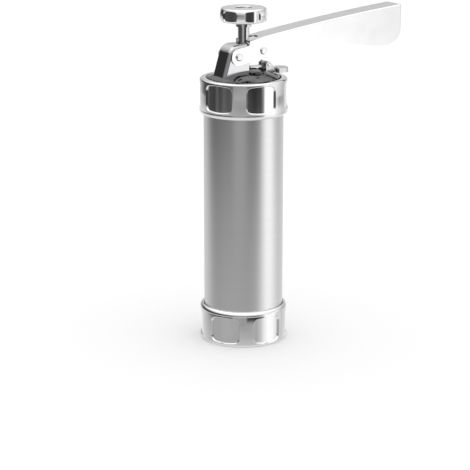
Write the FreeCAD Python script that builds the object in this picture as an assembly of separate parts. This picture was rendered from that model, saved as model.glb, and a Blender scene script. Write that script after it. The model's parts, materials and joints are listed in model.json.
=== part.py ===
"""Hand-operated cookie press: a threaded barrel between screw collars, a lever head and a ratchet plunger.

Units are millimetres. +Z is up, the origin is the centre of the ring that the press stands on,
and the lever points along +X. The plunger is near its lowest position.
"""

import FreeCAD
import Part

import math
import os

V = FreeCAD.Vector
X_AXIS = V(1, 0, 0)
Y_AXIS = V(0, 1, 0)
Z_AXIS = V(0, 0, 1)

# ---- driving dimensions ---------------------------------------------------------------------
BARREL_R = 27.5            # outside radius of the barrel
BARREL_WALL = 2.0
BARREL_LENGTH = 176.8
COLLAR_WALL = 3.15         # from the barrel's surface to the collars' largest radius
COLLAR_HEIGHT = 24.8
COLLAR_LIP = 2.4           # thickness of the collar's inward lip
LIP_OVERLAP = 1.5          # how far a lip reaches inside the barrel's outside radius
ROD_R = 4.0
KNOB_R = 16.6
KNOB_HEIGHT = 9.9
LEVER_REACH = 127.0        # from the rod's axis to the lever's far end
BRACKET_WIDTH = 15.0

# ---- clearances -----------------------------------------------------------------------------
RUNNING = 0.08             # radial clearance of a shaft in its bush
LOOSE = 0.3                # between parts that only pass each other
LEVER_GAP = 0.4            # between the bracket's cheeks and the lever's, each side
ROD_GAP = 0.7              # round the rod where it passes the bracket and the lever
THREAD_GAP = 0.25          # radial clearance of the collar threads
PISTON_GAP = 0.35          # radial clearance of the piston in the barrel

# ---- threads --------------------------------------------------------------------------------
THREAD_PITCH = 3.0
THREAD_TURNS = 2.0
THREAD_DEPTH = 0.9         # from the barrel's surface to the root of its thread
THREAD_CREST = 0.8         # width of a ridge at its crest
THREAD_ROOT = 1.2          # width of a ridge at its root
THREAD_SINK = 0.3          # how deep a ridge is rooted in the wall that carries it
THREAD_RUNOUT = 1.6        # plain length from the barrel's end to the first ridge

# ---- forming disc, gasket and head cap ------------------------------------------------------
DISC_SHEET = 1.0
DISC_DISH = 1.4            # how far the pierced middle stands above the flange
DISC_STEP = 1.4            # from the collar's lip in to the foot of the raised middle
DISC_PETALS = 6
PETAL_REACH = 15.5         # from the disc's centre to a petal's far end
PETAL_R = 3.4
PETAL_NECK = 2.6
DISC_HOLE_R = 2.2
GASKET = 0.8
CAP_FLANGE = 1.5
CAP_SHEET = 1.5
CAP_EDGE = 0.3             # gap between the cap's flange and the collar's bore
DOME_GAP = 1.1             # between the dome's wall and the collar's lip
DOME_RISE = 5.9            # from the collar's rim to the dome's top
DOME_STEP = 0.2            # from the collar's rim to the dome's edge
HUB_WALL = 3.0             # wall of the cap's hub round the bush
HUB_DEPTH = 9.0            # from the collar's rim down to the hub's lower end
BUSH_WALL = 2.4
BUSH_TOP = 2.3             # from the collar's rim up to the bush's top

# ---- stacked heights, from the table up -----------------------------------------------------
DISC_Z = COLLAR_LIP
BARREL_Z0 = DISC_Z + DISC_SHEET
BARREL_Z1 = BARREL_Z0 + BARREL_LENGTH
CAP_Z0 = BARREL_Z1 + GASKET
CAP_Z1 = CAP_Z0 + CAP_FLANGE
TOP_Z = CAP_Z1 + COLLAR_LIP
DOME_TOP = TOP_Z + DOME_RISE
BORE_R = BARREL_R - BARREL_WALL
LIP_R = BARREL_R - LIP_OVERLAP
COLLAR_BORE = BARREL_R + THREAD_GAP
CAP_R = BARREL_R - CAP_EDGE
COLLAR_R = BARREL_R + COLLAR_WALL
DISC_DISH_R = LIP_R - DISC_STEP
DOME_R = LIP_R - DOME_GAP
BUSH_R = ROD_R + BUSH_WALL
HUB_R = BUSH_R + HUB_WALL

# ---- collar windows -------------------------------------------------------------------------
WINDOWS = 6
WINDOW_DEPTH = 1.3         # from the collar's largest radius to a window's floor
WINDOW_SPREAD = 21.0       # half of the angle that a window spans, degrees
WINDOW_SLOPE = 0.6         # how far a window's upper and lower walls lean out, for each mm of depth
WINDOW_RIM = 1.6           # band between a window and the collar's outer face
WINDOW_BAND = 3.8          # band between a window and the collar's barrel side
WINDOW_CORNER = 3.4
TOP_COLLAR_TURN = -7.6     # angle of one lobe, degrees from +X
BOTTOM_COLLAR_TURN = 2.1

# ---- bracket --------------------------------------------------------------------------------
BRACKET_SHEET = 1.6
BRACKET_BEND = 2.4         # outside bend radius between the bracket's back and its cheeks
BRACKET_RISE = 23.6        # from the collar's rim to the bracket's top
BRACKET_INSET = 3.7        # from the dome's wall in to the back's outer face
BRACKET_LEAN = 5.6         # how far the back leans forward up to its curved top
BRACKET_SHOULDER = 18.6    # height over the rim at which the back starts to curve over
BRACKET_CREST_X = -7.4     # where the curved top becomes flat
BRACKET_FRONT_X = -0.2     # front edge of the bracket's cheeks and top
FOOT_SHEET = 1.4
FOOT_X1 = -6.9
RIVET_X = -11.4
RIVET_Y = 3.3
RIVET_R = 1.2
RIVET_HEAD_R = 2.2
RIVET_HEAD = 0.9

# ---- lever ----------------------------------------------------------------------------------
LEVER_SHEET = 1.1
LEVER_EDGE = 1.0           # outside radius of the fold between the lever's top and its cheeks
PIVOT_X = -9.1
PIVOT_RISE = 15.4          # from the collar's rim to the pivot pin's axis
PIN_R = 2.0
PIN_HEAD_EDGE = 0.65       # how far a rivet head stands out round the pivot pin
PIN_HEAD = 1.1
PAWL_PIN_X = 10.3
PAWL_PIN_RISE = 18.3
PAWL_PIN_R = 1.75
CHEEK_END_R = 5.6          # radius of the lever's cheeks around the pivot
CHEEK_STEP_X = -0.5        # where the lever's top begins, with a step up
CHEEK_STEP_LOW = 22.7      # heights over the collar's rim, below and above that step
CHEEK_STEP_HIGH = 25.8
LEVER_MID_BACK = 67.0      # distances back from the lever's far end
LEVER_MID_TOP = 34.5
LEVER_TIP_TOP = 41.6
LEVER_END_R = 2.4          # corner radius of the lever's far end, seen from above
NECK_X = 16.0              # underside of the lever: neck, waist and heel
NECK_LOW = 14.4
WAIST_BACK = 64.0
WAIST_LOW = 20.3
WAIST_FALL = 2.4           # halfway from the waist to the neck
GRIP_BACK = 37.0
GRIP_LOW = 15.8
HEEL_BACK = 19.0
HEEL_FLAT = 5.5
HEEL_LOW = 13.4
HEEL_CORNER = 13.5
SLOT_AHEAD = 5.9           # from the rod to the far end of its slot in the lever's top

# ---- drive pawl and release lever -----------------------------------------------------------
TIP_GAP = 0.35             # from a pawl's tip to the smooth side of the rod
RETURN_WIRE = 0.4          # radius of the return spring's wire
RETURN_ARM = 1.2           # from the rod's surface to the middle of that spring's arm
PAWL_SIDE = 0.4            # between the drive pawl and the return spring's arm
PAWL_EYE = 1.75            # wall of the drive pawl's eye
PAWL_LOW = 11.2            # height of the drive pawl's tip over the collar's rim
PAWL_TIP = 0.9
PAWL_BACK_X = 14.2
PAWL_BACK_LOW = 12.4
PAWL_FACE = 1.9            # from the rod to the drive pawl's upper face
PAWL_FACE_Z = 14.4
PAWL_ARM_RISE = 0.5        # from the pawl's lower back corner up to its spring's foot
PAWL_FOOT = 3.6            # length and radius of that foot
PAWL_FOOT_R = 0.35
RELEASE_PIN_INSET = 3.0    # from the pad's far edge back to the release lever's pin
RELEASE_PIN_RISE = 7.4
RELEASE_PIN_R = 1.1
RELEASE_SHEET = 1.2
RELEASE_LOW = 5.8          # height of the release lever's strip over the collar's rim
RELEASE_STRIP = 1.8        # half width of the strip that reaches the rod
RELEASE_ROOM = 1.7         # between the release lever's eye and the stand's ears, for its spring
RELEASE_EYE_R = 2.2
TAB_LENGTH = 9.8
TAB_REACH = 4.75           # how far the thumb tab stands out past the collar
TAB_HALF = 5.5
TAB_GAP = 0.9              # from the collar's rim up to the thumb tab
TAB_DEPTH = 3.5
TAB_EDGE = 1.0
PAD_INSET = 4.5            # from the dome's wall in to the far edge of the pad for the stand
PAD_RISE = 3.6
PAD_EDGE = 1.4             # pad on each side of the recess
STAND_SHEET = 1.2
STAND_BASE = 0.9
STAND_INSET = 0.3          # from the recess's side in to the stand's ear
RECESS_X0 = 3.0            # recess in the dome under the pawls' tips
RECESS_AHEAD = 0.8         # from the drive pawl's back and sides to the recess's walls
RECESS_RISE = 2.5
RECESS_WALL = 1.5

# ---- plunger --------------------------------------------------------------------------------
PISTON_RISE = 11.2         # from the forming disc to the piston's underside
PISTON_HEIGHT = 10.0
PISTON_WEB = 3.0
PISTON_RIM = 3.6
PISTON_HUB = 4.0           # wall of the piston's hub round the rod
SEAL_R = 1.2               # half thickness of the piston's seal ring
SEAL_GAP = 0.1             # the seal ring's clearance in the barrel
SPIGOT_STEP = 1.1          # how much thinner the rod is at its ends
WASHER = 0.8
WASHER_WALL = 2.7
NUT_WALL = 2.1
NUT_HEIGHT = 3.0
NUT_GAP = 0.1
KNOB_GAP = 11.0            # from the bracket's top up to the knob's hub
KNOB_HUB_WALL = 1.4
KNOB_HUB = 3.2
KNOB_EDGE = 1.4            # how much narrower the knob is at its upper and lower edges
KNOB_WINDOW_DEPTH = 1.2
KNOB_WINDOW_BAND = 0.7
KNOB_CORNER = 1.8
KNOB_TURN = -9.0
KNOB_RECESS_R = 5.5
KNOB_RECESS = 2.6
KNOB_SCREW_R = 4.6
KNOB_SOCKET_R = 1.5
TOOTH_PITCH = 3.2
TOOTH_DEPTH = 1.5
TEETH = 46
TOOTH_START = 34.0         # from the knob's hub down to the first tooth

PISTON_Z0 = BARREL_Z0 + PISTON_RISE
PISTON_Z1 = PISTON_Z0 + PISTON_HEIGHT
BRACKET_TOP = TOP_Z + BRACKET_RISE
HUB_Z = BRACKET_TOP + KNOB_GAP
KNOB_Z0 = HUB_Z + KNOB_HUB
KNOB_Z1 = KNOB_Z0 + KNOB_HEIGHT
BRACKET_HALF = BRACKET_WIDTH / 2
LEVER_INSIDE = BRACKET_HALF + LEVER_GAP
LEVER_HALF = LEVER_INSIDE + LEVER_SHEET
PIN_HEAD_R = PIN_R + PIN_HEAD_EDGE
WINDOW_FLOOR = COLLAR_R - WINDOW_DEPTH
BRACKET_FOOT_X = BRACKET_INSET - DOME_R
BRACKET_NOTCH = ROD_R + ROD_GAP
SLOT_HALF = ROD_R + ROD_GAP
SLOT_X = SLOT_HALF + SLOT_AHEAD
RETURN_ARM_Y = ROD_R + RETURN_ARM
PAWL_HALF = RETURN_ARM_Y - RETURN_WIRE - PAWL_SIDE
PAWL_EYE_R = PAWL_PIN_R + PAWL_EYE
PAWL_FACE_X = ROD_R + PAWL_FACE
RECESS_HALF = PAWL_HALF + RECESS_AHEAD
RECESS_X1 = PAWL_BACK_X + RECESS_AHEAD
STAND_HALF = RECESS_HALF - STAND_INSET
RELEASE_NECK = STAND_HALF - STAND_SHEET - RELEASE_ROOM
PAD_X1 = DOME_R - PAD_INSET
PAD_HALF = RECESS_HALF + PAD_EDGE
RELEASE_PIN_X = PAD_X1 - RELEASE_PIN_INSET
TAB_X1 = COLLAR_R + TAB_REACH
TAB_X0 = TAB_X1 - TAB_LENGTH
SPIGOT_R = ROD_R - SPIGOT_STEP
PISTON_HUB_R = ROD_R + PISTON_HUB
WASHER_R = SPIGOT_R + WASHER_WALL
NUT_R = SPIGOT_R + NUT_WALL
KNOB_HUB_R = ROD_R + KNOB_HUB_WALL
KNOB_FLOOR = KNOB_R - KNOB_WINDOW_DEPTH
PIVOT = V(PIVOT_X, 0, TOP_Z + PIVOT_RISE)
PAWL_PIN = V(PAWL_PIN_X, 0, TOP_Z + PAWL_PIN_RISE)
RELEASE_PIN = V(RELEASE_PIN_X, 0, TOP_Z + RELEASE_PIN_RISE)
DOME_SAG = DOME_RISE - DOME_STEP
DOME_SPHERE = (DOME_R ** 2 + DOME_SAG ** 2) / (2 * DOME_SAG)
TIP_X = ROD_R + TIP_GAP

# ---- springs --------------------------------------------------------------------------------
RETURN_COIL = 1.2          # from the pivot pin's surface to the middle of its spring's wire
RETURN_TURNS = 5
RETURN_PITCH = 1.3
PAWL_COIL = 0.95
PAWL_WIRE = 0.3
PAWL_TURNS = 2
PAWL_COIL_PITCH = 0.8
RELEASE_COIL = 0.6
RELEASE_WIRE = 0.2
RELEASE_TURNS = 1
RELEASE_COIL_PITCH = 0.5
COIL_GAP = 0.2             # between a spring's fixed coils and the turn that moves
SPRING_TURN = 300          # degrees of coil that a spring's moving arm carries
RETURN_COIL_R = PIN_R + RETURN_COIL
PAWL_COIL_R = PAWL_PIN_R + PAWL_COIL
RELEASE_COIL_R = RELEASE_PIN_R + RELEASE_COIL


# ---- small helpers --------------------------------------------------------------------------
def cylinder(r, z0, z1, x=0.0, y=0.0):
    return Part.makeCylinder(r, z1 - z0, V(x, y, z0))


def ring(r_in, r_out, z0, z1):
    return cylinder(r_out, z0, z1).cut(cylinder(r_in, z0 - 1, z1 + 1))


def block(x0, x1, y0, y1, z0, z1):
    return Part.makeBox(x1 - x0, y1 - y0, z1 - z0, V(x0, y0, z0))


def pin_y(r, centre, y0, y1):
    """A round pin along Y."""
    return Part.makeCylinder(r, y1 - y0, V(centre.x, y0, centre.z), Y_AXIS)


def line(a, b):
    return Part.LineSegment(V(a[0], 0, a[1]), V(b[0], 0, b[1])).toShape()


def arc(a, b, c):
    return Part.Arc(V(a[0], 0, a[1]), V(b[0], 0, b[1]), V(c[0], 0, c[1])).toShape()


def curve(points):
    """A smooth curve through points of the XZ plane."""
    spline = Part.BSplineCurve()
    spline.interpolate([V(x, 0, z) for x, z in points])
    return spline.toShape()


def polygon(points):
    return [line(a, b) for a, b in zip(points, points[1:] + points[:1])]


def flat_face(edges):
    return Part.Face(Part.Wire(Part.__sortEdges__(edges)))


def revolve(edges):
    """A full turn about Z of a closed outline in the XZ plane."""
    return flat_face(edges).revolve(V(0, 0, 0), Z_AXIS, 360)


def plate(edges, half):
    """An outline in the XZ plane, drawn out to half on both sides."""
    face = flat_face(edges)
    face.translate(V(0, -half, 0))
    return face.extrude(V(0, 2 * half, 0))


def turned(shape, degrees):
    copy = shape.copy()
    copy.rotate(V(0, 0, 0), Z_AXIS, degrees)
    return copy


def fused(shapes):
    whole = shapes[0].fuse(shapes[1:])
    return whole.removeSplitter()


def helix_ridge(root_r, crest_r, z0, turns):
    """A right-hand thread ridge between two radii, rooted in the wall at root_r."""
    out = 1.0 if crest_r > root_r else -1.0
    inner = root_r - out * THREAD_SINK
    slope = (THREAD_ROOT - THREAD_CREST) / 2 / abs(crest_r - root_r)
    half_crest = THREAD_CREST / 2
    half_inner = half_crest + slope * abs(crest_r - inner)
    outline = [V(crest_r, 0, z0 - half_crest), V(crest_r, 0, z0 + half_crest),
               V(inner, 0, z0 + half_inner), V(inner, 0, z0 - half_inner)]
    profile = Part.makePolygon(outline + outline[:1])
    helix = Part.makeHelix(THREAD_PITCH, THREAD_PITCH * turns, crest_r)
    helix.translate(V(0, 0, z0))
    return sweep_wire(profile, Part.Wire(helix.Edges))


def sweep_wire(profile, path):
    sweep = Part.BRepOffsetAPI.MakePipeShell(path)
    sweep.setFrenetMode(True)
    sweep.add(profile)
    sweep.build()
    sweep.makeSolid()
    return sweep.shape()


def coil_path(centre, radius, y0, pitch, start, sweep):
    """Points of a coil about an axis along Y, from an angle measured from +X towards -Z."""
    steps = max(4, int(abs(sweep) / 30))
    points = []
    for k in range(steps + 1):
        turn = sweep * k / steps
        points.append(on_circle(centre, radius, y0 + pitch * abs(turn) / 360.0, start + turn))
    return points


def run(a, b):
    """Points of a straight stretch of wire from a towards b, without b."""
    return [a + (b - a) * (k / 4.0) for k in range(4)]


def round_wire(points, wire_r):
    """Round wire along a smooth path through points."""
    path = Part.BSplineCurve()
    path.interpolate(points)
    ends = Part.Wire(path.toShape())
    profile = Part.Wire(Part.makeCircle(wire_r, points[0], path.tangent(path.FirstParameter)[0]))
    return ends.makePipeShell([profile], True, False)


def on_circle(centre, radius, y, degrees):
    """A point of a circle about an axis along Y, at an angle from +X towards -Z."""
    a = math.radians(degrees)
    return V(centre.x + radius * math.cos(a), y, centre.z - radius * math.sin(a))


def dome_ball(offset):
    return Part.makeSphere(DOME_SPHERE + offset, V(0, 0, DOME_TOP - DOME_SPHERE))


def dome_z(r, offset=0.0):
    return DOME_TOP - DOME_SPHERE + math.sqrt((DOME_SPHERE + offset) ** 2 - r ** 2)


# ---- barrel and collars ---------------------------------------------------------------------
def thread_starts():
    """Heights at which the ridges of the barrel's lower and upper threads begin."""
    return BARREL_Z0 + THREAD_RUNOUT, BARREL_Z1 - THREAD_RUNOUT - THREAD_PITCH * THREAD_TURNS


def barrel_tube():
    """The barrel, with a turned-down thread at each end."""
    root_r = BARREL_R - THREAD_DEPTH
    length = THREAD_PITCH * (THREAD_TURNS + 0.5) + 2 * THREAD_RUNOUT
    tube = ring(BORE_R, BARREL_R, BARREL_Z0, BARREL_Z1)
    for z0, z1 in ((BARREL_Z0 - 1, BARREL_Z0 + length), (BARREL_Z1 - length, BARREL_Z1 + 1)):
        tube = tube.cut(ring(root_r, BARREL_R + 1, z0, z1))
    for z0 in thread_starts():
        tube = tube.fuse(helix_ridge(root_r, BARREL_R, z0, THREAD_TURNS))
    return tube


def rounded_wire(x, half, z0, z1, corner):
    """A rectangle with rounded corners across +X, at x."""
    inset = corner * (1 - math.sqrt(0.5))
    edges = []
    for side in (1, -1):
        y, in_y, mid_y = side * half, side * (half - corner), side * (half - inset)
        low, high = (z0, z1) if side > 0 else (z1, z0)
        up = 1 if side > 0 else -1
        edges.append(Part.Arc(V(x, in_y, low), V(x, mid_y, low + up * inset),
                              V(x, y, low + up * corner)).toShape())
        edges.append(Part.LineSegment(V(x, y, low + up * corner), V(x, y, high - up * corner)).toShape())
        edges.append(Part.Arc(V(x, y, high - up * corner), V(x, mid_y, high - up * inset),
                              V(x, in_y, high)).toShape())
        edges.append(Part.LineSegment(V(x, in_y, high), V(x, -in_y, high)).toShape())
    return Part.Wire(edges)


def window(floor_r, outer_r, z0, z1, corner):
    """The solid that cuts one window facing +X: a floor curved about Z, leaning walls, rounded corners."""
    half = outer_r * math.sin(math.radians(WINDOW_SPREAD))
    edge_x = outer_r * math.cos(math.radians(WINDOW_SPREAD))
    wires = []
    for x in (edge_x - (outer_r - floor_r) - 0.8, outer_r + 1):
        out = x - edge_x
        lean = WINDOW_SLOPE * (x - outer_r)
        wires.append(rounded_wire(x, half + out, z0 - lean, z1 + lean, corner + out / 2))
    pocket = Part.makeLoft(wires, True, True)
    return pocket.cut(cylinder(floor_r, z0 - 5, z1 + 5))


def collar(thread_z):
    """A screw collar with its lip at the top, its lower face at z = 0, and a lobe towards +X."""
    top = COLLAR_HEIGHT
    lip = COLLAR_HEIGHT - COLLAR_LIP
    bevel = 0.5
    outline = [
        line((COLLAR_BORE + bevel, 0), (COLLAR_R - 2.1, 0)),
        arc((COLLAR_R - 2.1, 0), (COLLAR_R - 0.85, 0.9), (COLLAR_R - 0.3, 3.2)),
        arc((COLLAR_R - 0.3, 3.2), (COLLAR_R, top * 0.48), (COLLAR_R - 0.45, top - 1.7)),
        arc((COLLAR_R - 0.45, top - 1.7), (COLLAR_R - 0.95, top - 0.45), (COLLAR_R - 2.1, top)),
        line((COLLAR_R - 2.1, top), (LIP_R, top)),
        line((LIP_R, top), (LIP_R, lip)),
        line((LIP_R, lip), (COLLAR_BORE, lip)),
        line((COLLAR_BORE, lip), (COLLAR_BORE, bevel)),
        line((COLLAR_BORE, bevel), (COLLAR_BORE + bevel, 0)),
    ]
    body = revolve(outline)
    pocket = window(WINDOW_FLOOR, COLLAR_R, WINDOW_BAND, top - WINDOW_RIM, WINDOW_CORNER)
    for k in range(WINDOWS):
        body = body.cut(turned(pocket, 360.0 / WINDOWS * (k + 0.5)))
    crest_r = COLLAR_BORE - (THREAD_DEPTH - THREAD_GAP) + 0.05
    return body.fuse(helix_ridge(COLLAR_BORE, crest_r, thread_z, THREAD_TURNS))


def top_collar():
    """The upper collar, whose lip holds the head cap down on the barrel."""
    base = TOP_Z - COLLAR_HEIGHT
    drop = THREAD_PITCH * (0.5 - TOP_COLLAR_TURN / 360.0)
    part = turned(collar(thread_starts()[1] - base - drop), TOP_COLLAR_TURN)
    part.translate(V(0, 0, base))
    return part


def bottom_collar():
    """The lower collar: the same part the other way up, which holds the forming disc."""
    end = thread_starts()[0] + THREAD_PITCH * THREAD_TURNS
    rise = THREAD_PITCH * (0.5 + BOTTOM_COLLAR_TURN / 360.0)
    part = collar(COLLAR_HEIGHT - end - rise)
    part.rotate(V(0, 0, 0), X_AXIS, 180)
    part.translate(V(0, 0, COLLAR_HEIGHT))
    return turned(part, BOTTOM_COLLAR_TURN)


def forming_disc():
    """The pierced disc that shapes the dough: a flange on the collar's lip and a raised middle."""
    z0, z1 = DISC_Z, DISC_Z + DISC_SHEET
    rise = DISC_DISH
    wall = DISC_DISH_R
    disc = revolve(polygon([
        (0, z0 + rise), (wall - 1.3, z0 + rise), (wall - 0.5, z0), (CAP_R, z0), (CAP_R, z1),
        (wall, z1), (wall - 0.8, z1 + rise), (0, z1 + rise),
    ]))
    petal = cylinder(PETAL_R, z0 - 1, z1 + 3, PETAL_REACH - PETAL_R)
    neck = block(5.0, PETAL_REACH - PETAL_R, -PETAL_NECK / 2, PETAL_NECK / 2, z0 - 1, z1 + 3)
    for k in range(DISC_PETALS):
        disc = disc.cut(turned(petal.fuse(neck), 360.0 / DISC_PETALS * k))
    return disc.cut(cylinder(DISC_HOLE_R, z0 - 1, z1 + 3))


def barrel_gasket():
    return ring(BORE_R + 0.2, BARREL_R - THREAD_DEPTH, BARREL_Z1, CAP_Z0)


# ---- head: everything that the upper collar holds down --------------------------------------
def head_cap():
    """The domed cap, with a hub for the rod's bush and a raised pad for the release lever."""
    wall = DOME_R - CAP_SHEET
    edge_z = TOP_Z + DOME_STEP
    under_z = dome_z(wall, -CAP_SHEET)
    mid = DOME_R * 0.5
    outline = [
        line((BUSH_R, TOP_Z - HUB_DEPTH), (HUB_R, TOP_Z - HUB_DEPTH)),
        line((HUB_R, TOP_Z - HUB_DEPTH), (HUB_R, dome_z(HUB_R, -CAP_SHEET))),
        arc((HUB_R, dome_z(HUB_R, -CAP_SHEET)), (17.0, dome_z(17.0, -CAP_SHEET)), (wall, under_z)),
        line((wall, under_z), (wall, CAP_Z0)),
        line((wall, CAP_Z0), (CAP_R, CAP_Z0)),
        line((CAP_R, CAP_Z0), (CAP_R, CAP_Z1)),
        line((CAP_R, CAP_Z1), (DOME_R, CAP_Z1)),
        line((DOME_R, CAP_Z1), (DOME_R, edge_z)),
        arc((DOME_R, edge_z), (mid, dome_z(mid)), (BUSH_R, dome_z(BUSH_R))),
        line((BUSH_R, dome_z(BUSH_R)), (BUSH_R, TOP_Z - HUB_DEPTH)),
    ]
    cap = revolve(outline)
    floor = TOP_Z + RECESS_RISE
    pad = block(HUB_R - 2, PAD_X1, -PAD_HALF, PAD_HALF, floor - RECESS_WALL, TOP_Z + PAD_RISE)
    pad = pad.makeFillet(1.2, [e for e in pad.Edges if e.BoundBox.ZLength > 1])
    cap = cap.fuse(pad)
    above = block(RECESS_X0, PAD_X1, -RECESS_HALF, RECESS_HALF, TOP_Z + PAD_RISE, DOME_TOP + 1)
    cap = cap.cut(above)
    cap = cap.cut(block(RECESS_X0, RECESS_X1, -RECESS_HALF, RECESS_HALF, floor, DOME_TOP + 1))
    for side in (-1, 1):
        cap = cap.cut(cylinder(RIVET_R, TOP_Z, DOME_TOP + 1, RIVET_X, side * RIVET_Y))
    return cap


def rod_bush():
    """The bush that guides the rod, pressed into the cap's hub."""
    return ring(ROD_R + RUNNING, BUSH_R, TOP_Z - HUB_DEPTH - 1.0, TOP_Z + BUSH_TOP)


def bracket_outline(inset):
    """Side view of the bracket, moved inwards by inset at the back and the top."""
    low = TOP_Z - 3.0
    slope = BRACKET_LEAN / BRACKET_SHOULDER
    back_x = BRACKET_FOOT_X + inset * math.sqrt(1 + slope ** 2)
    shoulder = TOP_Z + BRACKET_SHOULDER
    top = BRACKET_TOP - inset
    start = (back_x + BRACKET_LEAN, shoulder)
    crest = (BRACKET_CREST_X, top)
    rise = top - shoulder
    run = BRACKET_CREST_X - start[0]
    middle = (start[0] + 0.30 * run, shoulder + 0.66 * rise)
    return [
        line((back_x - 3.0 * slope, low), start),
        curve([start, middle, crest]),
        line(crest, (BRACKET_FRONT_X + inset, top)),
        line((BRACKET_FRONT_X + inset, top), (BRACKET_FRONT_X + inset, low)),
        line((BRACKET_FRONT_X + inset, low), (back_x - 3.0 * slope, low)),
    ]


def lever_bracket():
    """The upright channel that carries the lever, open towards +X and closed over the top."""
    outer = plate(bracket_outline(0), BRACKET_HALF)
    bend = [e for e in outer.Edges if abs(abs(e.BoundBox.YMin) - BRACKET_HALF) < 1e-6
            and e.BoundBox.YLength < 1e-6 and e.BoundBox.ZMax > TOP_Z - 2.9
            and e.BoundBox.XMin < BRACKET_FRONT_X - 0.1]
    outer = outer.makeFillet(BRACKET_BEND, bend)
    inside = BRACKET_HALF - BRACKET_SHEET
    hollow = plate(bracket_outline(BRACKET_SHEET), inside)
    hollow = hollow.fuse(block(-3.0, 3.0, -inside, inside, TOP_Z - 5, BRACKET_TOP - BRACKET_SHEET))
    shell = outer.cut(hollow)
    foot = block(BRACKET_FOOT_X, FOOT_X1, -inside, inside, TOP_Z - 3, DOME_TOP + 3)
    foot = foot.common(dome_ball(FOOT_SHEET)).common(plate(bracket_outline(0.5), BRACKET_HALF))
    shell = shell.fuse(foot).cut(dome_ball(0))
    notch = fused([cylinder(BRACKET_NOTCH, TOP_Z, BRACKET_TOP + 1),
                   block(0, 5, -BRACKET_NOTCH, BRACKET_NOTCH, TOP_Z, BRACKET_TOP + 1)])
    shell = shell.cut(notch)
    for side in (-1, 1):
        shell = shell.cut(cylinder(RIVET_R, TOP_Z, DOME_TOP + 3, RIVET_X, side * RIVET_Y))
    return shell.cut(pin_y(PIN_R, PIVOT, -20, 20)).removeSplitter()


def rivet_seat():
    """Height at which the rivets' heads rest on the bracket's foot."""
    return dome_z(math.hypot(RIVET_X, RIVET_Y) - RIVET_HEAD_R, FOOT_SHEET) + 0.02


def bracket_rivet(side):
    """A rivet through the bracket's foot and the dome."""
    r = math.hypot(RIVET_X, RIVET_Y)
    top = rivet_seat()
    low = dome_z(r + RIVET_HEAD_R, -CAP_SHEET) - 0.05
    x, y = RIVET_X, side * RIVET_Y
    head = cylinder(RIVET_HEAD_R, top, top + RIVET_HEAD, x, y)
    head = head.makeFillet(0.6, [e for e in head.Edges if e.BoundBox.ZMin > top + RIVET_HEAD - 0.01])
    foot = cylinder(RIVET_HEAD_R * 0.85, low - RIVET_HEAD, low, x, y)
    return fused([cylinder(RIVET_R, low - 0.5, top + 0.3, x, y), head, foot])


def bracket_rivet_left():
    return bracket_rivet(1)


def bracket_rivet_right():
    return bracket_rivet(-1)


def headed_pin(centre, r, head_r, half):
    """A pin along Y with a domed rivet head outside half on each side."""
    pin = pin_y(r, centre, -half - 0.2, half + 0.2)
    heads = []
    for side in (-1, 1):
        y0 = min(side * half, side * (half + PIN_HEAD))
        head = pin_y(head_r, centre, y0, y0 + PIN_HEAD)
        rim = [e for e in head.Edges if abs(abs(e.BoundBox.YMin) - half - PIN_HEAD) < 1e-6
               and e.BoundBox.YLength < 1e-6]
        heads.append(head.makeFillet(PIN_HEAD * 0.85, rim))
    return fused([pin] + heads)


def pivot_pin():
    return headed_pin(PIVOT, PIN_R, PIN_HEAD_R, LEVER_HALF + LOOSE / 3)


def release_stand():
    """Two ears on the dome's pad that carry the release lever's pin."""
    z0 = TOP_Z + PAD_RISE
    width = RELEASE_EYE_R
    x0, x1 = RELEASE_PIN_X - width, RELEASE_PIN_X + width
    parts = [block(x0, x1, -STAND_HALF, STAND_HALF, z0, z0 + STAND_BASE)]
    for side in (-1, 1):
        y0 = min(side * STAND_HALF, side * (STAND_HALF - STAND_SHEET))
        parts.append(block(x0, x1, y0, y0 + STAND_SHEET, z0, RELEASE_PIN.z))
        parts.append(pin_y(width, RELEASE_PIN, y0, y0 + STAND_SHEET))
    return fused(parts).cut(pin_y(RELEASE_PIN_R, RELEASE_PIN, -9, 9))


def release_pin():
    pin = pin_y(RELEASE_PIN_R, RELEASE_PIN, -STAND_HALF - 0.5, STAND_HALF + 0.5)
    return pin.makeFillet(0.35, pin.Edges[0:1] + pin.Edges[2:3])


# ---- lever ----------------------------------------------------------------------------------
def lever_top():
    """Points of the lever's top edge, from its step to its tip."""
    return [(CHEEK_STEP_X, TOP_Z + CHEEK_STEP_HIGH), (LEVER_REACH - LEVER_MID_BACK, TOP_Z + LEVER_MID_TOP),
            (LEVER_REACH, TOP_Z + LEVER_TIP_TOP)]


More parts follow.
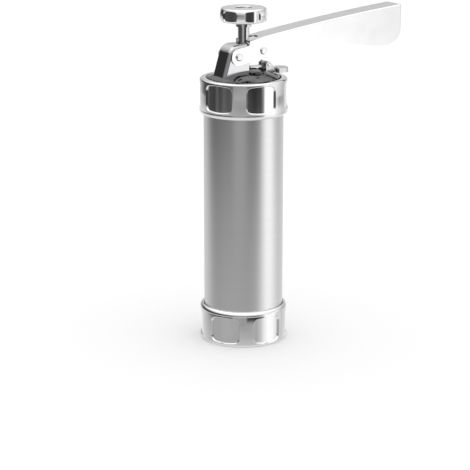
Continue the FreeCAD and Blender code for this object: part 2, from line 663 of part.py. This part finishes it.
def lever_outline():
    """Side view of the lever."""
    top = lever_top()
    tip = top[-1]
    end_x = LEVER_REACH
    step = (CHEEK_STEP_X, TOP_Z + CHEEK_STEP_LOW)
    rise = math.atan2(CHEEK_STEP_LOW - PIVOT_RISE - CHEEK_END_R, CHEEK_STEP_X - PIVOT_X)
    over = (PIVOT.x - CHEEK_END_R * math.sin(rise), PIVOT.z + CHEEK_END_R * math.cos(rise))
    neck = (NECK_X, TOP_Z + NECK_LOW)
    fall = math.atan2(neck[1] - PIVOT.z + CHEEK_END_R, neck[0] - PIVOT.x)
    under = (PIVOT.x + CHEEK_END_R * math.sin(fall), PIVOT.z - CHEEK_END_R * math.cos(fall))
    heel = (end_x - HEEL_BACK + HEEL_FLAT, TOP_Z + HEEL_LOW)
    toe = (end_x, heel[1] + HEEL_CORNER)
    bend = math.sqrt(0.5)
    middle = (end_x - (end_x - heel[0]) * (1 - bend), heel[1] + HEEL_CORNER * (1 - bend))
    waist_x = end_x - WAIST_BACK
    low = [neck, ((neck[0] + waist_x) / 2, TOP_Z + WAIST_LOW - WAIST_FALL),
           (waist_x, TOP_Z + WAIST_LOW), (end_x - GRIP_BACK, TOP_Z + GRIP_LOW),
           (end_x - HEEL_BACK, TOP_Z + HEEL_LOW), heel]
    return [
        arc(over, (PIVOT.x - CHEEK_END_R, PIVOT.z), under),
        line(under, neck),
        curve(low),
        arc(heel, middle, toe),
        line(toe, tip),
        curve(top),
        line(top[0], step),
        line(step, over),
    ]


def lever_plan(inset):
    """Plan of the lever: straight sides, and rounded corners at its far end."""
    half = LEVER_HALF - inset
    end_x = LEVER_REACH - inset
    plan = block(-30, end_x, -half, half, TOP_Z - 10, TOP_Z + 60)
    corners = [e for e in plan.Edges if e.BoundBox.XMin > end_x - 0.01 and e.BoundBox.ZLength > 1]
    return plan.makeFillet(LEVER_END_R - inset, corners)


def lever():
    """The pressed lever: a channel with its top closed, a deeper heel and a rounded far end."""
    outer = plate(lever_outline(), LEVER_HALF + 1).common(lever_plan(0))
    lowest = TOP_Z + CHEEK_STEP_HIGH - 0.5
    high = [e for e in outer.Edges if e.BoundBox.ZMin > lowest and e.BoundBox.XMax > CHEEK_STEP_X + 0.1]
    folds = [e for e in high if e.BoundBox.XLength > LEVER_END_R + 0.1 or e.BoundBox.ZLength < LEVER_END_R]
    outer = outer.makeFillet(LEVER_EDGE, folds)
    top = [(x, z - LEVER_SHEET) for x, z in lever_top()]
    last = (LEVER_REACH + 5, top[-1][1] + 0.4)
    under = [curve(top), line(top[-1], last), line(last, (last[0], TOP_Z - 10)),
             line((last[0], TOP_Z - 10), (top[0][0], TOP_Z - 10)), line((top[0][0], TOP_Z - 10), top[0])]
    hollow = plate(under, LEVER_HALF + 1)
    hollow = hollow.fuse(block(-40, CHEEK_STEP_X, -LEVER_HALF - 1, LEVER_HALF + 1, TOP_Z - 10, TOP_Z + 60))
    shell = outer.cut(hollow.common(lever_plan(LEVER_SHEET)))
    shell = shell.cut(block(-20, SLOT_X - SLOT_HALF, -SLOT_HALF, SLOT_HALF, TOP_Z + 15, TOP_Z + 50))
    shell = shell.cut(cylinder(SLOT_HALF, TOP_Z + 15, TOP_Z + 50, SLOT_X - SLOT_HALF))
    shell = shell.cut(pin_y(PIN_R + RUNNING, PIVOT, -20, 20))
    return shell.cut(pin_y(PAWL_PIN_R, PAWL_PIN, -20, 20))


def pawl_pin():
    return headed_pin(PAWL_PIN, PAWL_PIN_R, PIN_HEAD_R, LEVER_HALF)


def drive_pawl():
    """The pawl that hangs from the lever and pushes the rod down."""
    low = TOP_Z + PAWL_LOW
    face = (PAWL_FACE_X, TOP_Z + PAWL_FACE_Z)
    eye_x = PAWL_PIN.x
    sides = polygon([
        (TIP_X, low), (PAWL_BACK_X, TOP_Z + PAWL_BACK_LOW), (eye_x + PAWL_EYE_R, PAWL_PIN.z),
        (eye_x - PAWL_EYE_R, PAWL_PIN.z), face, (TIP_X, low + PAWL_TIP),
    ])
    body = plate(sides, PAWL_HALF).fuse(pin_y(PAWL_EYE_R, PAWL_PIN, -PAWL_HALF, PAWL_HALF))
    return body.removeSplitter().cut(pin_y(PAWL_PIN_R + RUNNING, PAWL_PIN, -20, 20))


def release_lever():
    """The small lever that holds the rod, with a thumb tab over the collar's rim."""
    low = TOP_Z + RELEASE_LOW
    top = low + RELEASE_SHEET
    tab_z = TOP_Z + TAB_GAP
    eye = pin_y(RELEASE_EYE_R, RELEASE_PIN, -RELEASE_NECK, RELEASE_NECK)
    strip = plate(polygon([(TIP_X, low), (RELEASE_PIN.x, low), (RELEASE_PIN.x, top), (TIP_X, top)]),
                  RELEASE_STRIP)
    arm = plate(polygon([
        (RELEASE_PIN.x + 0.2, low), (RELEASE_PIN.x + 2.6, low), (TAB_X0 - 1.0, tab_z),
        (TAB_X0 + 1.5, tab_z), (TAB_X0 + 1.5, tab_z + TAB_DEPTH), (TAB_X0, tab_z + TAB_DEPTH),
        (RELEASE_PIN.x + 3.2, top + 0.6), (RELEASE_PIN.x + 0.2, top + 0.6),
    ]), RELEASE_NECK)
    end_x = TAB_X1 - TAB_HALF
    tab = block(TAB_X0, end_x, -TAB_HALF, TAB_HALF, tab_z, tab_z + TAB_DEPTH)
    tab = tab.fuse(cylinder(TAB_HALF, tab_z, tab_z + TAB_DEPTH, end_x)).removeSplitter()
    rim = [e for e in tab.Edges if e.BoundBox.ZMin > tab_z + TAB_DEPTH - 0.01]
    tab = tab.makeFillet(TAB_EDGE, rim)
    return fused([eye, strip, arm, tab]).cut(pin_y(RELEASE_PIN_R + RUNNING, RELEASE_PIN, -9, 9))


# ---- springs --------------------------------------------------------------------------------
def return_spring():
    """The lever's torsion spring: its coils and the leg that rests on a rivet in the bracket's foot."""
    y0 = RETURN_ARM_Y - COIL_GAP - 2 * RETURN_WIRE - RETURN_PITCH * RETURN_TURNS
    coils = coil_path(PIVOT, RETURN_COIL_R, y0, RETURN_PITCH, 180, 360 * RETURN_TURNS)
    foot = V(coils[0].x, y0, rivet_seat() + RIVET_HEAD + 0.1)
    return round_wire(run(foot, coils[0]) + coils, RETURN_WIRE)


def return_spring_arm():
    """The last turn of the lever's spring, with the arm that lifts the pawl pin."""
    reach = PAWL_PIN - PIVOT
    lift = PAWL_PIN_R + RETURN_WIRE + 0.05
    dx, dz = reach.x, reach.z - lift
    angle = math.degrees(math.asin(RETURN_COIL_R / math.hypot(dx, dz)) - math.atan2(dz, dx))
    y = RETURN_ARM_Y
    turn = coil_path(PIVOT, RETURN_COIL_R, y, 0, angle - 90, -SPRING_TURN)
    end = V(PIVOT.x + dx + 1.5, y, PIVOT.z + dz - 1.5 * math.tan(math.radians(angle)))
    return round_wire(run(end, turn[0]) + turn, RETURN_WIRE)


def pawl_spring():
    """The drive pawl's torsion spring: its coils and the leg that rests under the lever's top."""
    y0 = -LEVER_INSIDE + PAWL_WIRE + 0.1
    coils = coil_path(PAWL_PIN, PAWL_COIL_R, y0, PAWL_COIL_PITCH, 0, 360 * PAWL_TURNS)
    top = V(coils[0].x, y0, PAWL_PIN.z + 7.0)
    return round_wire(run(top, coils[0]) + coils, PAWL_WIRE)


def pawl_spring_arm():
    """The last turn of the pawl's spring, with the arm that presses on the pawl's back."""
    y = -LEVER_INSIDE + PAWL_WIRE + 0.1 + PAWL_COIL_PITCH * PAWL_TURNS + 2 * PAWL_WIRE + COIL_GAP
    turn = coil_path(PAWL_PIN, PAWL_COIL_R, y, 0, 0, -SPRING_TURN)
    low = V(PAWL_BACK_X + PAWL_FOOT_R + 0.1, y, TOP_Z + PAWL_BACK_LOW + PAWL_ARM_RISE)
    arm = round_wire(run(low, turn[0]) + turn, PAWL_WIRE)
    foot = Part.makeCylinder(PAWL_FOOT_R, PAWL_FOOT, low - Y_AXIS * PAWL_FOOT_R, Y_AXIS)
    return arm.fuse(foot)


def release_spring():
    """The release lever's torsion spring: its coils and the leg on the stand."""
    y0 = RELEASE_NECK + RELEASE_WIRE + LOOSE
    coils = coil_path(RELEASE_PIN, RELEASE_COIL_R, y0, RELEASE_COIL_PITCH, 0, -360 * RELEASE_TURNS)
    foot = V(coils[0].x, y0, TOP_Z + PAD_RISE + STAND_BASE + 0.05)
    return round_wire(run(foot, coils[0]) + coils, RELEASE_WIRE)


# ---- plunger --------------------------------------------------------------------------------
def piston():
    """The piston: a cup with a hub for the rod and a groove for its seal ring."""
    r = BORE_R - PISTON_GAP
    z0, z1 = PISTON_Z0, PISTON_Z1
    cup = cylinder(r, z0, z1).cut(cylinder(r - PISTON_RIM, z0 + PISTON_WEB, z1 + 1))
    cup = cup.fuse(cylinder(PISTON_HUB_R, z0, z1)).removeSplitter()
    mid = (z0 + z1) / 2
    groove = r - 2 * SEAL_R + (PISTON_GAP - SEAL_GAP)
    cup = cup.cut(ring(groove, r + 1, mid - SEAL_R, mid + SEAL_R))
    cup = cup.cut(cylinder(WASHER_R + 0.6, z0 - 1, z0 + WASHER + NUT_HEIGHT + 2 * NUT_GAP))
    return cup.cut(cylinder(SPIGOT_R + RUNNING, z0 - 1, z1 + 1))


def piston_seal():
    mid = (PISTON_Z0 + PISTON_Z1) / 2
    r_out = BORE_R - SEAL_GAP
    r_in = r_out - 2 * SEAL_R
    seal = ring(r_in, r_out, mid - SEAL_R, mid + SEAL_R)
    return seal.makeFillet(SEAL_R * 0.7, [e for e in seal.Edges if e.BoundBox.XMax > r_out - 0.01
                                          and e.BoundBox.ZLength < 1e-6])


def plunger_rod():
    """The rod, with ratchet teeth on the side that faces -X while it slides freely."""
    rod = cylinder(ROD_R, PISTON_Z1 + NUT_GAP, KNOB_Z0)
    rod = rod.fuse(cylinder(SPIGOT_R, PISTON_Z0 + 0.4, PISTON_Z1 + 1))
    rod = rod.fuse(cylinder(SPIGOT_R, KNOB_Z0, KNOB_Z1 - KNOB_RECESS - 0.6)).removeSplitter()
    first = HUB_Z - TOOTH_START
    floor = -(ROD_R - TOOTH_DEPTH)
    cuts = []
    for k in range(TEETH):
        z = first - k * TOOTH_PITCH
        cuts.append(plate(polygon([(floor, z), (-ROD_R - 1, z), (-ROD_R - 1, z - TOOTH_PITCH * 0.94)]),
                          ROD_R + 1))
    return rod.cut(Part.makeCompound(cuts))


def piston_washer():
    z1 = PISTON_Z0 + NUT_HEIGHT + WASHER + NUT_GAP
    return ring(SPIGOT_R, WASHER_R, z1 - WASHER, z1)


def piston_nut():
    z0 = PISTON_Z0 + NUT_GAP
    points = [V(NUT_R * math.cos(math.radians(60 * k)), NUT_R * math.sin(math.radians(60 * k)), z0)
              for k in range(7)]
    hexagon = Part.Face(Part.makePolygon(points)).extrude(V(0, 0, NUT_HEIGHT))
    return hexagon.cut(cylinder(SPIGOT_R, z0 - 1, z0 + NUT_HEIGHT + 1))


def knob():
    """The knob: six windows like the collars' round a bulged rim, and a small hub below."""
    z0, z1 = KNOB_Z0, KNOB_Z1
    r = KNOB_R
    edge = r - KNOB_EDGE
    top_r = KNOB_RECESS_R
    outline = [
        line((SPIGOT_R, z0), (KNOB_HUB_R + 3.0, z0)),
        line((KNOB_HUB_R + 3.0, z0), (edge - 0.9, z0 + 0.1)),
        arc((edge - 0.9, z0 + 0.1), (edge - 0.1, z0 + 0.35), (edge + 0.35, z0 + 0.95)),
        arc((edge + 0.35, z0 + 0.95), (r, (z0 + z1) / 2), (edge + 0.35, z1 - 0.95)),
        arc((edge + 0.35, z1 - 0.95), (edge - 0.1, z1 - 0.35), (edge - 0.9, z1 - 0.05)),
        line((edge - 0.9, z1 - 0.05), (top_r + 0.4, z1)),
        line((top_r + 0.4, z1), (top_r, z1 - 0.4)),
        line((top_r, z1 - 0.4), (top_r, z1 - KNOB_RECESS)),
        line((top_r, z1 - KNOB_RECESS), (SPIGOT_R, z1 - KNOB_RECESS)),
        line((SPIGOT_R, z1 - KNOB_RECESS), (SPIGOT_R, z0)),
    ]
    body = revolve(outline)
    pocket = window(KNOB_FLOOR, r, z0 + KNOB_WINDOW_BAND, z1 - KNOB_WINDOW_BAND, KNOB_CORNER)
    for k in range(WINDOWS):
        body = body.cut(turned(pocket, KNOB_TURN + 360.0 / WINDOWS * (k + 0.5)))
    return body


def knob_hub():
    """The flanged collar between the rod and the knob."""
    z0, z1 = HUB_Z, KNOB_Z0
    hub = ring(ROD_R, KNOB_HUB_R, z0, z1 - 0.9).fuse(ring(ROD_R, KNOB_HUB_R + 1.2, z1 - 0.9, z1))
    return hub.removeSplitter()


def knob_screw():
    """The screw in the knob's recess that holds the knob on the rod."""
    z0 = KNOB_Z1 - KNOB_RECESS
    head = cylinder(KNOB_SCREW_R, z0, z0 + 1.0)
    head = head.makeFillet(0.5, [e for e in head.Edges if e.BoundBox.ZMin > z0 + 0.99])
    shank = cylinder(SPIGOT_R - 1.0, z0 - 0.6, z0 + 0.1)
    socket = Part.makePolygon([V(KNOB_SOCKET_R * math.cos(math.radians(60 * k)),
                                 KNOB_SOCKET_R * math.sin(math.radians(60 * k)), z0 + 0.3)
                               for k in range(7)])
    return fused([head, shank]).cut(Part.Face(socket).extrude(V(0, 0, 2)))


NODES = [
    barrel_tube, top_collar, bottom_collar, forming_disc, barrel_gasket, head_cap, rod_bush,
    lever_bracket, bracket_rivet_left, bracket_rivet_right, pivot_pin, release_stand, release_pin,
    lever, pawl_pin, drive_pawl, release_lever, return_spring, return_spring_arm, pawl_spring,
    pawl_spring_arm, release_spring, piston, piston_seal, plunger_rod, piston_washer, piston_nut,
    knob, knob_hub, knob_screw,
]


def main():
    os.makedirs("parts", exist_ok=True)
    for make in NODES:
        shape = make()
        solid = max(shape.Solids, key=lambda s: s.Volume)
        state = "valid" if solid.isValid() else "INVALID"
        print(make.__name__, state, len(shape.Solids), round(solid.Volume, 1))
        solid.exportStep("parts/" + make.__name__ + ".step")


main()
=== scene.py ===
import json
import math

import bpy
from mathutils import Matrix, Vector

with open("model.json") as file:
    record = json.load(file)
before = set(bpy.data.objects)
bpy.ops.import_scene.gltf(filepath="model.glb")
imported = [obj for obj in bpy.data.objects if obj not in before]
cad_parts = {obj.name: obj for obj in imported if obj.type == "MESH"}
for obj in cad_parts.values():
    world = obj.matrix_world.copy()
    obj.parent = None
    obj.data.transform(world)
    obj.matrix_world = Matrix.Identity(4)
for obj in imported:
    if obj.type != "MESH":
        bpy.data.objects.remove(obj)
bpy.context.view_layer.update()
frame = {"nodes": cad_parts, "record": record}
nodes = frame["nodes"]
scene = bpy.context.scene

# ---- camera ---------------------------------------------------------------------------------
AZIMUTH = 32.0             # degrees the camera stands to the left of the press's front
DISTANCE = 1.200           # from the barrel's axis, along the floor
HEIGHT = 0.400
PITCH = 15.25              # degrees down
YAW_OFFSET = -0.28         # degrees the view turns off the barrel's axis
FIELD = 15.06              # degrees across
SENSOR = 36.0              # millimetres
CLIP = (0.05, 20.0)


def add_camera():
    """The camera, in front of the press and a little above it."""
    a = math.radians(AZIMUTH)
    yaw = math.radians(AZIMUTH + YAW_OFFSET)
    pitch = math.radians(PITCH)
    data = bpy.data.cameras.new("camera")
    data.sensor_width = SENSOR
    data.lens = SENSOR / 2 / math.tan(math.radians(FIELD / 2))
    data.clip_start, data.clip_end = CLIP
    cam = bpy.data.objects.new("camera", data)
    cam.location = (-DISTANCE * math.sin(a), -DISTANCE * math.cos(a), HEIGHT)
    level = math.cos(pitch)
    ahead = Vector((math.sin(yaw) * level, math.cos(yaw) * level, -math.sin(pitch)))
    cam.rotation_euler = ahead.to_track_quat("-Z", "Y").to_euler()
    scene.collection.objects.link(cam)
    scene.camera = cam


# ---- node helpers ---------------------------------------------------------------------------
class Graph:
    """A few shorthands for building a node tree."""

    def __init__(self, tree):
        self.tree = tree
        tree.nodes.clear()

    def add(self, kind, **settings):
        """A new node with its properties set."""
        node = self.tree.nodes.new(kind)
        for key, value in settings.items():
            setattr(node, key, value)
        return node

    def link(self, a, b):
        self.tree.links.new(a, b)

    def math(self, operation, a, b=None, c=None, clamp=False):
        """A Math node's output; each input is a number or a socket."""
        node = self.add("ShaderNodeMath", operation=operation, use_clamp=clamp)
        for socket, value in zip(node.inputs, (a, b, c)):
            if value is None:
                continue
            if isinstance(value, (int, float)):
                socket.default_value = value
            else:
                self.link(value, socket)
        return node.outputs[0]

    def ramp(self, factor, stops):
        """A colour ramp through (position, grey or colour) stops."""
        node = self.add("ShaderNodeValToRGB")
        elements = node.color_ramp.elements
        elements[0].position, elements[1].position = stops[0][0], stops[-1][0]
        for position, _ in stops[1:-1]:
            elements.new(position)
        for element, (position, value) in zip(elements, stops):
            element.position = position
            colour = (value, value, value) if isinstance(value, (int, float)) else value
            element.color = (*colour, 1.0)
        self.link(factor, node.inputs[0])
        return node.outputs[0]

    def mix(self, factor, a, b):
        """A mix of two colours, each a tuple or a socket."""
        node = self.add("ShaderNodeMix", data_type="RGBA")
        for socket, value in ((node.inputs[0], factor), (node.inputs[6], a), (node.inputs[7], b)):
            if isinstance(value, (int, float)):
                socket.default_value = value
            elif isinstance(value, tuple):
                socket.default_value = (*value, 1.0)
            else:
                self.link(value, socket)
        return node.outputs[2]


# ---- studio ---------------------------------------------------------------------------------
FLOOR_SIZE = 6.0           # half of the floor's width
FLOOR_GREY = 0.9

# What the upper collar's windows and lobes reflect.
COLLAR_ROW = [
    (-180, 1.0), (-145, 0.75), (-124, 0.50), (-114, 0.30), (-104, 0.07), (-84, 0.05), (-74, 0.14),
    (-66, 0.06), (-54, 0.13), (-42, 0.08), (-31, 0.10), (-26, 0.40), (6, 0.40), (12, 0.05),
    (30, 0.02), (48, 0.06), (55, 0.25), (60, 1.3), (86, 1.4), (92, 0.9), (104, 0.38),
    (122, 0.50), (150, 0.85), (180, 1.0),
]
# The studio, seen from the press: rows of brightness at one elevation each (degrees), and in a row
# pairs of azimuth (degrees anticlockwise from the camera, seen from above) and brightness.
STUDIO = [
    (-40, [(-180, 0.9), (180, 0.9)]),
    (-22, [(-180, 0.95), (-140, 0.8), (-100, 0.55), (-60, 0.5), (0, 0.5), (40, 0.5), (56, 0.9), (72, 1.2),
           (92, 1.1), (120, 0.7), (150, 0.9), (180, 0.95)]),
    (-14, [(-180, 0.95), (-140, 0.82), (-123, 0.72), (-106, 0.50), (-88, 0.35), (-72, 0.38), (-55, 0.47),
           (-36, 0.45), (-18, 0.39), (0, 0.36), (22, 0.43), (38, 0.50), (50, 0.66), (60, 1.1), (72, 1.35),
           (88, 1.30), (100, 0.95), (123, 0.70), (150, 0.85), (180, 0.95)]),
    (-11.6, COLLAR_ROW),
    (-9.6, COLLAR_ROW),
    (-9.1, [(-180, 1.0), (-145, 0.6), (-120, 0.10), (-60, 0.06), (-30, 0.10), (-24, 0.45), (6, 0.45),
            (14, 0.05), (52, 0.06), (58, 1.3), (65.4, 1.3), (68.2, 0.46), (74, 0.5), (84, 1.1), (120, 0.6),
            (180, 1.0)]),
    (-7.8, [(-180, 1.0), (-145, 0.6), (-120, 0.10), (-60, 0.06), (-30, 0.10), (-24, 0.45), (6, 0.45),
            (14, 0.05), (52, 0.06), (58, 1.3), (65.4, 1.3), (68.2, 1.0), (74, 1.0), (84, 1.1), (120, 0.6),
            (180, 1.0)]),
    (4, [(-180, 0.75), (-150, 0.4), (-135, 0.04), (-95, 0.03), (-60, 0.10), (0, 0.35), (40, 0.3),
         (56, 1.2), (100, 1.2), (130, 0.5), (160, 0.7), (180, 0.75)]),
    (14, [(-180, 0.6), (-150, 0.4), (-135, 0.05), (-95, 0.04), (-60, 0.15), (0, 0.4), (40, 0.5),
          (60, 1.0), (100, 1.0), (130, 0.5), (160, 0.6), (180, 0.6)]),
    (27, [(-180, 0.78), (-140, 0.8), (-60, 0.7), (60, 0.9), (120, 0.8), (180, 0.78)]),
    (55, [(-180, 1.5), (180, 1.5)]),
]


def add_world():
    """A soft studio that changes with height and round the press; the camera sees plain white."""
    world = bpy.data.worlds.new("studio")
    scene.world = world
    world.use_nodes = True
    g = Graph(world.node_tree)
    coord = g.add("ShaderNodeTexCoord")
    split = g.add("ShaderNodeSeparateXYZ")
    g.link(coord.outputs["Generated"], split.inputs[0])
    x, y, z = split.outputs
    turn = math.atan2(-math.cos(math.radians(AZIMUTH)), -math.sin(math.radians(AZIMUTH)))
    cos, sin = math.cos(turn), math.sin(turn)
    ahead = g.math("ADD", g.math("MULTIPLY", x, cos), g.math("MULTIPLY", y, sin))
    side = g.math("SUBTRACT", g.math("MULTIPLY", y, cos), g.math("MULTIPLY", x, sin))
    azimuth = g.math("MULTIPLY_ADD", g.math("ARCTAN2", side, ahead), 0.5 / math.pi, 0.5)
    elevation = g.math("DEGREES", g.math("ARCSINE", z))
    colour = None
    for height, stops in STUDIO:
        row = g.ramp(azimuth, [(degrees / 360.0 + 0.5, value) for degrees, value in stops])
        if colour is None:
            colour, last = row, height
            continue
        gap = height - last
        step = g.math("MULTIPLY_ADD", elevation, 1 / gap, -last / gap, clamp=True)
        colour, last = g.mix(step, colour, row), height
    path = g.add("ShaderNodeLightPath")
    colour = g.mix(path.outputs["Is Camera Ray"], colour, (1.0, 1.0, 1.0))
    background = g.add("ShaderNodeBackground")
    g.link(colour, background.inputs[0])
    output = g.add("ShaderNodeOutputWorld")
    g.link(background.outputs[0], output.inputs[0])


def add_floor():
    """A pale floor that the metal doesn't mirror."""
    data = bpy.data.meshes.new("floor")
    corners = [(x * FLOOR_SIZE, y * FLOOR_SIZE, 0) for x, y in ((-1, -1), (1, -1), (1, 1), (-1, 1))]
    data.from_pydata(corners, [], [(0, 1, 2, 3)])
    data.update()
    floor = bpy.data.objects.new("floor", data)
    scene.collection.objects.link(floor)
    material = bpy.data.materials.new("floor")
    material.use_nodes = True
    g = Graph(material.node_tree)
    diffuse = g.add("ShaderNodeBsdfDiffuse")
    diffuse.inputs[0].default_value = (FLOOR_GREY, FLOOR_GREY, FLOOR_GREY, 1.0)
    output = g.add("ShaderNodeOutputMaterial")
    g.link(diffuse.outputs[0], output.inputs[0])
    data.materials.append(material)
    floor.visible_glossy = False


add_camera()
add_world()
add_floor()
scene.view_settings.view_transform = "Standard"


# ---- materials ------------------------------------------------------------------------------
# Scales are in features a metre, depths in metres.
SMEAR_SCALE = 60.0         # polished metal: cloudy smears, tinted by WEAR and rougher by SMEAR
SMEAR = 0.03
WEAR = 0.06
SCRATCH_SCALE = 900.0
SCRATCH_STRETCH = (1.0, 1.0, 0.15)
SCRATCH_ROUGH = 0.02
SCRATCH_BUMP = 0.02
SCRATCH_DEPTH = 0.0002
RING_SCALE = 5000.0        # turned metal: fine rings along Z, and broader bands of them
RING_ARC = 40.0
BAND_SCALE = RING_SCALE / 12
BAND_ARC = 12.0
RING_ROUGH = 0.05
RING_TINT = 0.97
RING_BUMP = 0.2
RING_DEPTH = 0.000004
ANISOTROPY = 0.7
GRAIN_SCALE = 1500.0       # satin plating: an even grain, with cloudy roughness
GRAIN_TINT = 0.88
GRAIN_BUMP = 0.15
GRAIN_DEPTH = 0.00005
CLOUD_SCALE = 150.0
CLOUD_ROUGH = 0.15
CLOUD_BASE = 0.07
RUBBER_SCALE = 1200.0
RUBBER_ROUGH = 0.6
RUBBER_BUMP = 0.3
RUBBER_DEPTH = 0.0001
RUBBER_MEAN = (0.03, 0.03, 0.032)
RUBBER_DARK = (0.02, 0.02, 0.021)
RUBBER_PALE = (0.045, 0.045, 0.047)


def surface(name, base, rough, metallic=1.0, **extra):
    """A Principled material with its graph, shader and object-space coordinates."""
    material = bpy.data.materials.new(name)
    material.use_nodes = True
    g = Graph(material.node_tree)
    shader = g.add("ShaderNodeBsdfPrincipled")
    output = g.add("ShaderNodeOutputMaterial")
    g.link(shader.outputs[0], output.inputs[0])
    shader.inputs["Base Color"].default_value = (*base, 1.0)
    shader.inputs["Metallic"].default_value = metallic
    shader.inputs["Roughness"].default_value = rough
    for key, value in extra.items():
        shader.inputs[key].default_value = value
    coord = g.add("ShaderNodeTexCoord")
    return material, g, shader, coord.outputs["Object"]


def noise(g, coord, scale, detail=3.0, stretch=(1.0, 1.0, 1.0)):
    """Noise in object space, with its scale in features a metre."""
    mapping = g.add("ShaderNodeMapping")
    mapping.inputs["Scale"].default_value = stretch
    g.link(coord, mapping.inputs["Vector"])
    node = g.add("ShaderNodeTexNoise")
    node.inputs["Scale"].default_value = scale
    node.inputs["Detail"].default_value = detail
    g.link(mapping.outputs[0], node.inputs["Vector"])
    return node.outputs[0]


def add_bump(g, shader, height, strength, distance):
    """Bump from a height socket, its distance in metres."""
    bump = g.add("ShaderNodeBump")
    bump.inputs["Strength"].default_value = strength
    bump.inputs["Distance"].default_value = distance
    g.link(height, bump.inputs["Height"])
    g.link(bump.outputs[0], shader.inputs["Normal"])


def darker(colour, share):
    return tuple(c * share for c in colour)


def polished(name, base, rough):
    """Plated and polished metal: faint cloudy smears and fine random scratches."""
    material, g, shader, coord = surface(name, base, rough)
    clouds = noise(g, coord, SMEAR_SCALE, 4.0)
    fine = noise(g, coord, SCRATCH_SCALE, 2.0, SCRATCH_STRETCH)
    value = g.math("MULTIPLY_ADD", clouds, SMEAR, rough - SMEAR / 2)
    value = g.math("MULTIPLY_ADD", fine, SCRATCH_ROUGH, value)
    g.link(value, shader.inputs["Roughness"])
    tint = g.ramp(clouds, [(0.3, darker(base, 1 - WEAR)), (0.7, base)])
    g.link(tint, shader.inputs["Base Color"])
    add_bump(g, shader, fine, SCRATCH_BUMP, SCRATCH_DEPTH)
    return material


def turned_round(name, base, rough):
    """Metal turned or brushed round the Z axis: fine rings that smear reflections along the axis."""
    material, g, shader, coord = surface(name, base, rough, Anisotropic=ANISOTROPY)
    tangent = g.add("ShaderNodeTangent", direction_type="RADIAL", axis="Z")
    g.link(tangent.outputs[0], shader.inputs["Tangent"])
    rings = noise(g, coord, 1.0, 2.0, (RING_ARC, RING_ARC, RING_SCALE))
    broad = noise(g, coord, 1.0, 2.0, (BAND_ARC, BAND_ARC, BAND_SCALE))
    value = g.math("MULTIPLY_ADD", rings, RING_ROUGH, rough - RING_ROUGH / 2)
    g.link(value, shader.inputs["Roughness"])
    tint = g.ramp(g.math("MULTIPLY_ADD", broad, 0.5, g.math("MULTIPLY", rings, 0.5)),
                  [(0.35, darker(base, RING_TINT)), (0.65, base)])
    g.link(tint, shader.inputs["Base Color"])
    add_bump(g, shader, rings, RING_BUMP, RING_DEPTH)
    return material


def satin(name, base, rough):
    """Plated steel with a soft grain."""
    material, g, shader, coord = surface(name, base, rough)
    grain = noise(g, coord, GRAIN_SCALE)
    clouds = noise(g, coord, CLOUD_SCALE)
    value = g.math("MULTIPLY_ADD", clouds, CLOUD_ROUGH, rough - CLOUD_BASE)
    g.link(value, shader.inputs["Roughness"])
    tint = g.ramp(grain, [(0.35, darker(base, GRAIN_TINT)), (0.65, base)])
    g.link(tint, shader.inputs["Base Color"])
    add_bump(g, shader, grain, GRAIN_BUMP, GRAIN_DEPTH)
    return material


def rubber(name):
    """Black rubber with a fine matt grain."""
    material, g, shader, coord = surface(name, RUBBER_MEAN, RUBBER_ROUGH, metallic=0.0)
    grain = noise(g, coord, RUBBER_SCALE, 4.0)
    tint = g.ramp(grain, [(0.3, RUBBER_DARK), (0.7, RUBBER_PALE)])
    g.link(tint, shader.inputs["Base Color"])
    add_bump(g, shader, grain, RUBBER_BUMP, RUBBER_DEPTH)
    return material


MATERIALS = {
    "barrel": turned_round("barrel", (0.80, 0.80, 0.81), 0.26),
    "collar": polished("collar", (0.82, 0.82, 0.83), 0.07),
    "cap": polished("cap", (0.13, 0.13, 0.135), 0.10),
    "bracket": polished("bracket", (0.66, 0.66, 0.67), 0.08),
    "lever": polished("lever", (0.90, 0.90, 0.90), 0.12),
    "steel": polished("steel", (0.78, 0.78, 0.79), 0.10),
    "pawl": satin("pawl", (0.74, 0.74, 0.74), 0.28),
    "spring": satin("spring", (0.5, 0.5, 0.51), 0.3),
    "disc": turned_round("disc", (0.82, 0.82, 0.83), 0.25),
    "piston": turned_round("piston", (0.74, 0.74, 0.75), 0.3),
    "bush": turned_round("bush", (0.78, 0.60, 0.30), 0.25),
    "rubber": rubber("rubber"),
    "knob": polished("knob", (0.82, 0.82, 0.83), 0.06),
}

for part in frame["record"]["subparts"]:
    obj = nodes[part["node"]]
    obj.data.materials.clear()
    obj.data.materials.append(MATERIALS[part["material_slot"]])
